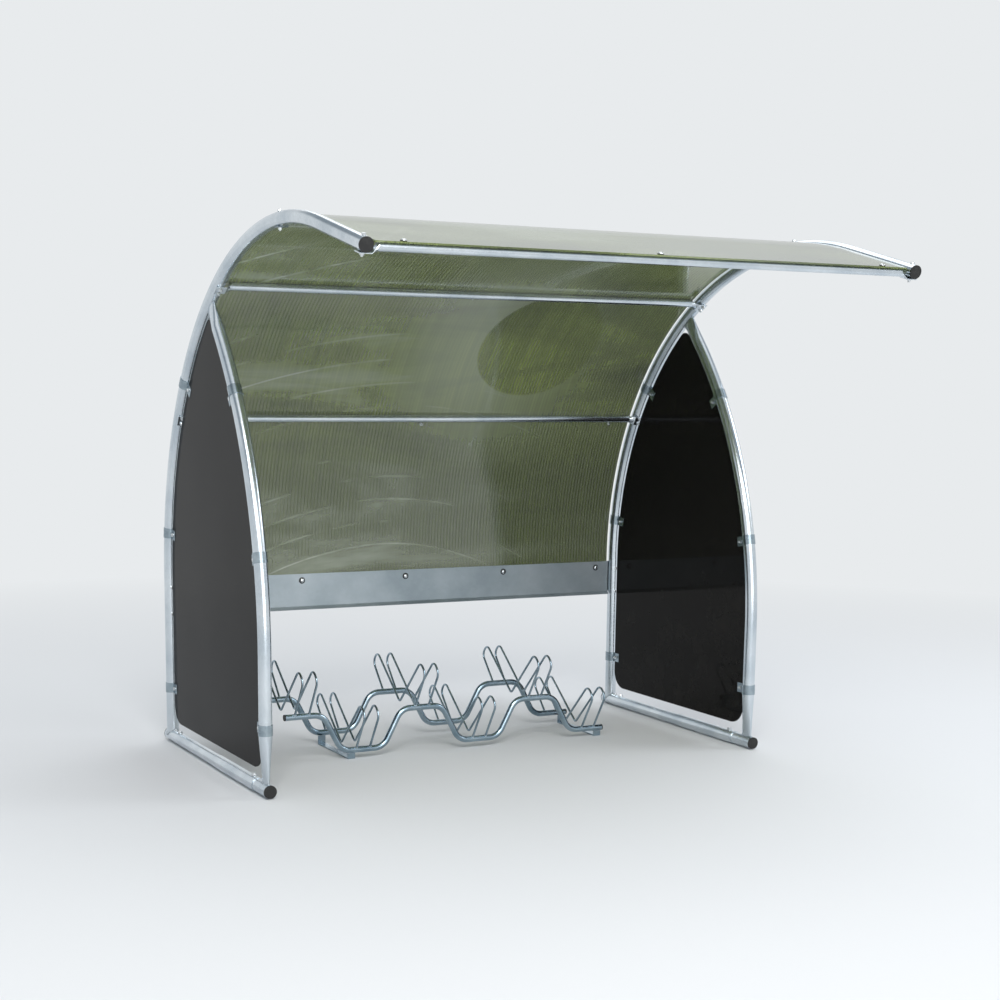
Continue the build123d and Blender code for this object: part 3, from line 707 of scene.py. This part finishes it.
# %% Build the weld tree
RIPPLE_POINTS = 4.0            # points along one ripple
weld_tree, weld_in, weld_out = new_tree("weld_bead", [
    ("Bead radius", "NodeSocketFloat"), ("Ripple length", "NodeSocketFloat"),
    ("Ripple depth", "NodeSocketFloat"), ("Material", "NodeSocketMaterial")])
seam = add(weld_tree, "GeometryNodeMeshToCurve", {"Mesh": weld_in.outputs["Geometry"]})
spacing = add(weld_tree, "ShaderNodeMath", {
    0: weld_in.outputs["Ripple length"], 1: RIPPLE_POINTS}, operation="DIVIDE")
even = add(weld_tree, "GeometryNodeResampleCurve", {
    "Curve": seam.outputs["Curve"], "Length": spacing.outputs[0]}, mode="LENGTH")
walked = add(weld_tree, "GeometryNodeSplineParameter")
steps = add(weld_tree, "ShaderNodeMath", {
    0: walked.outputs["Length"], 1: weld_in.outputs["Ripple length"]}, operation="DIVIDE")
angle_of = add(weld_tree, "ShaderNodeMath", {
    0: steps.outputs[0], 1: 2 * math.pi}, operation="MULTIPLY")
swell = add(weld_tree, "ShaderNodeMath", {0: angle_of.outputs[0]}, operation="SINE")
change = add(weld_tree, "ShaderNodeMath", {
    0: swell.outputs[0], 1: weld_in.outputs["Ripple depth"], 2: 1.0}, operation="MULTIPLY_ADD")
bead_r = add(weld_tree, "ShaderNodeMath", {
    0: change.outputs[0], 1: weld_in.outputs["Bead radius"]}, operation="MULTIPLY")
outline = add(weld_tree, "GeometryNodeCurvePrimitiveCircle", {"Resolution": 8, "Radius": 1.0})
bead = add(weld_tree, "GeometryNodeCurveToMesh", {
    "Curve": even.outputs["Curve"], "Profile Curve": outline.outputs["Curve"],
    "Scale": bead_r.outputs[0], "Fill Caps": True})
close_tree(weld_tree, weld_in, weld_out, bead.outputs["Mesh"])


def seam_mesh(name, loops):
    """Closed loops of points, given in millimetres, as the edges of one mesh."""
    points, edges = [], []
    for loop in loops:
        start = len(points)
        points += [tuple(v * MM for v in p) for p in loop]
        edges += [(start + i, start + (i + 1) % len(loop)) for i in range(len(loop))]
    mesh = bpy.data.meshes.new(name)
    mesh.from_pydata(points, edges, [])
    return mesh


# %% [markdown]
# Most seams here are where a tube, a bar or a wire ends against another tube. One rule
# finds them all: walk round the ending tube's outline, and from each point go on along
# its axis until the distance to the other tube's axis is that tube's radius.

# %% Find the frame's seams
SEAM_POINTS = 48
STRIDE, FARTHEST, HALVINGS = 0.5, 400, 30
WALL_IN = 0.1                  # a tube's outline is followed just inside its surface
PINCHED_HALF = 7.0             # half the thickness of a strut's pressed ends
FOOT_HALF, HEAD_HALF = 31.0, 39.0      # and half their widths
START_Z = 120                  # starts of the walks, well clear of the base tube
START_BACK = 100               # and of the hoop
LEAN = math.radians(42.5)      # of the strut's upper end


def meet(start, way, gap):
    """The first point from start along way where gap, the distance to a surface, is zero."""
    low, high = 0.0, 0.0
    while gap(start + way * high) > 0 and high < FARTHEST:
        low = high
        high += STRIDE
    for _ in range(HALVINGS):
        middle = (low + high) / 2
        if gap(start + way * middle) > 0:
            low = middle
        else:
            high = middle
    return start + way * high


def seam_round(centre, way, side, front, half_side, half_front, gap):
    """The seam of a tube of elliptic outline that ends against another surface."""
    loop = []
    for i in range(SEAM_POINTS):
        a = 2 * math.pi * i / SEAM_POINTS
        across = side * (half_side * math.cos(a)) + front * (half_front * math.sin(a))
        loop.append(meet(centre + across, way, gap))
    return loop


def to_base(p):
    """Distance from a point to the base tube's surface, for a frame at x = 0."""
    return math.hypot(p.x, p.z - BASE_Z) - TUBE_R


def to_hoop(p):
    """Distance from a point to the hoop's bend, for a frame at x = 0."""
    return math.hypot(p.x, math.hypot(p.y - ARC[0], p.z - ARC[1]) - BEND_R) - TUBE_R


X, Y, Z = Vector((1, 0, 0)), Vector((0, 1, 0)), Vector((0, 0, 1))
strut_way = Vector((0, math.sin(LEAN), math.cos(LEAN)))
strut_side = Vector((0, math.cos(LEAN), -math.sin(LEAN)))
strut_top = Vector((0, STRUT_ARC[0] - STRUT_R * math.cos(LEAN),
                    STRUT_ARC[1] + STRUT_R * math.sin(LEAN)))
head_start = strut_top + strut_way * START_BACK
leg_start = Vector((0, LEG_Y, START_Z))
foot_start = Vector((0, STRUT_Y, START_Z))
leg_half = TUBE_R - WALL_IN
frame_seams = []
for s in (-1, 1):
    shift = X * (s * HALF)
    for loop in (
            seam_round(leg_start, -Z, X, Y, leg_half, leg_half, to_base),
            seam_round(foot_start, -Z, X, Y, PINCHED_HALF, FOOT_HALF, to_base),
            seam_round(head_start, strut_way, X, strut_side, PINCHED_HALF, HEAD_HALF, to_hoop)):
        frame_seams.append([p + shift for p in loop])

frame_welds = run_tree(
    "frame_welds", weld_tree, seam_mesh("frame_welds", frame_seams), weld_zinc,
    {"Bead radius": 2.6 * MM, "Ripple length": 3.2 * MM, "Ripple depth": 0.16})

# %% [markdown]
# The rack has a seam at both ends of all twelve wires, and one round each end of both
# feet, where the flat bar stands under a tube.

# %% Weld the rack
RACK_R = 12.5
WIRE_R = 4.5
WIRE_APART = 30.0              # from the middle of a run to each of its two wires
WIRE_START = 40                # starts of the walks, clear of the rack's tubes
RACK_X = -85.0                 # middle of the rack
RUNS, RUN_PITCH, HIGH_RUN = 6, 264.0, 154.0    # high and low runs by turns
RUN_X = [RACK_X + (i - (RUNS - 1) / 2) * RUN_PITCH for i in range(RUNS)]
RUN_RISE = [HIGH_RUN if i % 2 == 0 else 0.0 for i in range(RUNS)]
RACK_TUBES = (                 # y, height of a low run, and the way up a wire from its end
    (367.758, 36.0, Vector((0, -98.0, 154.0))),
    (684.758, 50.0, Vector((0, 107.0, 115.0))),
)
FOOT_X = (RUN_X[1] - 50.0, RUN_X[5] + 50.0)
FOOT_CORNERS = ((-16, -2.5), (16, -2.5), (16, 2.5), (-16, 2.5))        # of its flat bar


def to_rack(axis):
    """The rule for the distance from a point to a rack tube's surface."""
    return lambda p: math.hypot(p.y - axis.y, p.z - axis.z) - RACK_R


rack_seams = []
for x, rise in zip(RUN_X, RUN_RISE):
    for y, low, wire_up in RACK_TUBES:
        way = -wire_up.normalized()
        for offset in (-WIRE_APART, WIRE_APART):
            centre = Vector((x + offset, y, low + rise)) - way * WIRE_START
            rack_seams.append(seam_round(centre, way, X, way.cross(X), WIRE_R, WIRE_R,
                                         to_rack(Vector((0, y, low + rise)))))
for x in FOOT_X:
    for y, low, wire_up in RACK_TUBES:
        z = low - RACK_R + 0.5
        rack_seams.append([Vector((x + dx, y + dy, z)) for dx, dy in FOOT_CORNERS])
rack_welds = run_tree(
    "rack_welds", weld_tree, seam_mesh("rack_welds", rack_seams), weld_zinc,
    {"Bead radius": 1.7 * MM, "Ripple length": 2.4 * MM, "Ripple depth": 0.14})

# %% [markdown]
# ## The webs inside the sheet
# Twin-wall sheet gets its stiffness from thin webs between its skins, and they are what
# the eye reads as fine lines that bend with the roof. A web is a strip that follows the
# sheet's path. The tree sweeps one strip and repeats it along X, so the pitch, the number
# and the strip's size are all named inputs.

# %% Build the tree that sweeps and repeats a web
web_tree, web_in, web_out = new_tree("sheet_webs", [
    ("Pitch", "NodeSocketFloat"), ("Count", "NodeSocketInt"), ("Web height", "NodeSocketFloat"),
    ("Web thickness", "NodeSocketFloat"), ("Material", "NodeSocketMaterial")])
web_path = add(web_tree, "GeometryNodeMeshToCurve", {"Mesh": web_in.outputs["Geometry"]})
web_outline = add(web_tree, "GeometryNodeCurvePrimitiveQuadrilateral", {
    "Width": web_in.outputs["Web thickness"], "Height": web_in.outputs["Web height"]})
web = add(web_tree, "GeometryNodeCurveToMesh", {
    "Curve": web_path.outputs["Curve"], "Profile Curve": web_outline.outputs["Curve"],
    "Fill Caps": True})
web_step = add(web_tree, "ShaderNodeCombineXYZ", {"X": web_in.outputs["Pitch"]})
web_row = add(web_tree, "GeometryNodeMeshLine", {
    "Count": web_in.outputs["Count"], "Offset": web_step.outputs["Vector"]})
web_set = add(web_tree, "GeometryNodeInstanceOnPoints", {
    "Points": web_row.outputs["Mesh"], "Instance": web.outputs["Mesh"]})
close_tree(web_tree, web_in, web_out, web_set.outputs["Instances"])

# %% [markdown]
# The path is the sheet's middle layer: up the back, round the bend and along the nose. It
# stops just short of the sheet's ends, so no web stands out of it.

# %% Fill the sheet with webs
SHEET_HALF = 1041.0
SHEET_MID = SHEET_IN + SHEET_T / 2
WEB_LOW = 642.0                # height of a web's lower end
WEB_FRONT = NOSE - 11.0        # and place of its upper end along the nose
BEND_STEPS = 56
web_count = int(2 * (SHEET_HALF - FLUTE_MM / 2) / FLUTE_MM) + 1
first_x = -FLUTE_MM * (web_count - 1) / 2
path = [(ARC[0] + SHEET_MID, WEB_LOW)]
path += [round_hoop(BEND_ANGLE * i / BEND_STEPS, SHEET_MID) for i in range(BEND_STEPS + 1)]
path += [round_hoop(BEND_ANGLE, SHEET_MID, WEB_FRONT)]
path_mesh = bpy.data.meshes.new("sheet_path")
path_mesh.from_pydata([(first_x * MM, y * MM, z * MM) for y, z in path],
                      [(i, i + 1) for i in range(len(path) - 1)], [])
webs = run_tree("sheet_webs", web_tree, path_mesh, web_finish, {
    "Pitch": FLUTE_MM * MM, "Count": web_count,
    "Web height": 5.0 * MM, "Web thickness": 0.5 * MM})

# %% [markdown]
# ## Smooth or sharp
# The pieces that were swept or turned are round, and their hexagons and ends are sharp.
# One angle tells them apart: edges flatter than 40 degrees are shaded smooth.

# %% Shade the new pieces
SHARP_FROM = math.radians(40)
new_pieces = [o for o in bpy.context.scene.objects
              if o.type == "MESH" and o.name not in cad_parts]
for piece in new_pieces:
    piece.data.shade_smooth()
    piece.data.set_sharp_from_angle(angle=SHARP_FROM)
print("new pieces:", [p.name for p in new_pieces])

# %% [markdown]
# ## The floor
# The shelter stands on a plain pale floor that fades into a pale background, so no
# horizon cuts the picture. The fade is for the eye only: light still falls on the floor.

# %% Lay the floor
BACKGROUND = "#E8EBED"
FLOOR_R, FLOOR_SIDES, FLOOR_Z = 60.0, 64, -0.0005      # metres
FADE_FROM, FADE_TO = 1.8, 7.0  # metres from the shelter's middle


def background_rays(tree):
    """1 for a ray that shows the background: seen straight, in metal or through glass."""
    path = add(tree, "ShaderNodeLightPath").outputs
    seen = add(tree, "ShaderNodeMath", {
        0: path["Is Camera Ray"], 1: path["Is Glossy Ray"]}, operation="MAXIMUM")
    return add(tree, "ShaderNodeMath", {
        0: seen.outputs[0], 1: path["Is Transmission Ray"]}, operation="MAXIMUM").outputs[0]


floor_finish, floor_nodes, floor_shader, floor_place = new_material("pale_matte_floor")
floor_shader.inputs["Base Color"].default_value = linear("#DCDEE0")
floor_shader.inputs["Roughness"].default_value = 0.85
distance = add(floor_nodes, "ShaderNodeVectorMath", {0: floor_place}, operation="LENGTH")
fade = add(floor_nodes, "ShaderNodeMapRange", {
    VALUE: distance.outputs["Value"], FROM_LOW: FADE_FROM, FROM_HIGH: FADE_TO}).outputs[0]
share = add(floor_nodes, "ShaderNodeMath", {
    0: fade, 1: background_rays(floor_nodes)}, operation="MULTIPLY")
pale = add(floor_nodes, "ShaderNodeEmission", {"Color": BACKGROUND, "Strength": 1.0})
floor_mix = add(floor_nodes, "ShaderNodeMixShader", {
    0: share.outputs[0], 1: floor_shader.outputs["BSDF"], 2: pale.outputs["Emission"]})
floor_end = floor_nodes.nodes["Material Output"]
floor_nodes.links.new(floor_mix.outputs[0], floor_end.inputs["Surface"])
floor_mesh = bpy.data.meshes.new("floor")
floor_angles = [i * math.pi / (FLOOR_SIDES / 2) for i in range(FLOOR_SIDES)]
floor_mesh.from_pydata([(FLOOR_R * math.cos(a), FLOOR_R * math.sin(a), FLOOR_Z)
                        for a in floor_angles], [], [list(range(FLOOR_SIDES))])
floor_mesh.materials.append(floor_finish)
floor = plain_object("floor", floor_mesh)
print("the floor fades out from", FADE_FROM, "m to", FADE_TO, "m")

# %% [markdown]
# ## Light and air
# The light is that of a bright studio: a large soft lamp high in front on the left, a
# larger one right in front, a small one on the right and one high behind, under a dim sky
# that brightens upwards. The metal mirrors a room of its own: a pale background, a grey
# band of wall above it and a white ceiling, which give round tube its dark and bright
# lines.

# %% Light the scene
WALL_Z = (0.45, 0.55)          # where the mirrored wall begins, as the height of a ray
CEILING_Z = (0.7, 0.85)        # and the mirrored ceiling
world = bpy.data.worlds.new("studio")
bpy.context.scene.world = world
world.use_nodes = True
sky = world.node_tree
sky_way = add(sky, "ShaderNodeTexCoord").outputs["Generated"]
sky_height = add(sky, "ShaderNodeSeparateXYZ", {"Vector": sky_way}).outputs["Z"]
sky_level = add(sky, "ShaderNodeMapRange", {
    VALUE: sky_height, FROM_LOW: -0.05, FROM_HIGH: 0.9, TO_LOW: 0.3, TO_HIGH: 0.8}).outputs[0]
sky_light = sky.nodes["Background"]
sky_light.inputs["Color"].default_value = linear("#EEF3F8")
sky.links.new(sky_level, sky_light.inputs["Strength"])
wall = add(sky, "ShaderNodeMapRange", {
    VALUE: sky_height, FROM_LOW: WALL_Z[0], FROM_HIGH: WALL_Z[1]},
    interpolation_type="SMOOTHSTEP").outputs[0]
ceiling = add(sky, "ShaderNodeMapRange", {
    VALUE: sky_height, FROM_LOW: CEILING_Z[0], FROM_HIGH: CEILING_Z[1]},
    interpolation_type="SMOOTHSTEP").outputs[0]
lower_sky = add(sky, "ShaderNodeMix", {
    FACTOR: wall, COLOUR_A: BACKGROUND, COLOUR_B: "#8C969E"}, data_type="RGBA").outputs[MIXED]
whole_sky = add(sky, "ShaderNodeMix", {
    FACTOR: ceiling, COLOUR_A: lower_sky, COLOUR_B: "#FFFFFF"}, data_type="RGBA").outputs[MIXED]
sky_seen = add(sky, "ShaderNodeBackground", {"Color": whole_sky, "Strength": 1.0})
sky_mix = add(sky, "ShaderNodeMixShader", {
    0: background_rays(sky), 1: sky_light.outputs[0], 2: sky_seen.outputs[0]})
sky.links.new(sky_mix.outputs[0], sky.nodes["World Output"].inputs["Surface"])

LAMPS = (                      # name, place, height it aims at, side in metres, watts, colour
    ("key_lamp", (-3.0, -6.0, 6.0), 0.8, 3.0, 300, "#FFFDF9"),
    ("front_lamp", (-1.0, -8.5, 3.5), 0.8, 6.0, 300, "#FFFFFF"),
    ("side_lamp", (5.5, -2.0, 4.0), 1.0, 2.5, 110, "#F6F9FF"),
    ("back_lamp", (2.0, 3.6, 7.0), 1.2, 5.0, 120, "#FFFFFF"),
)
for name, place, aim, size, power, colour in LAMPS:
    light = bpy.data.lights.new(name, "AREA")
    light.size = size
    light.energy = power
    light.color = linear(colour)[:3]
    lamp = bpy.data.objects.new(name, light)
    bpy.context.scene.collection.objects.link(lamp)
    lamp.location = place
    lamp_way = Vector((0, 0, aim)) - Vector(place)
    lamp.rotation_euler = lamp_way.to_track_quat("-Z", "Y").to_euler()
print("lamps:", [name for name, *_ in LAMPS])
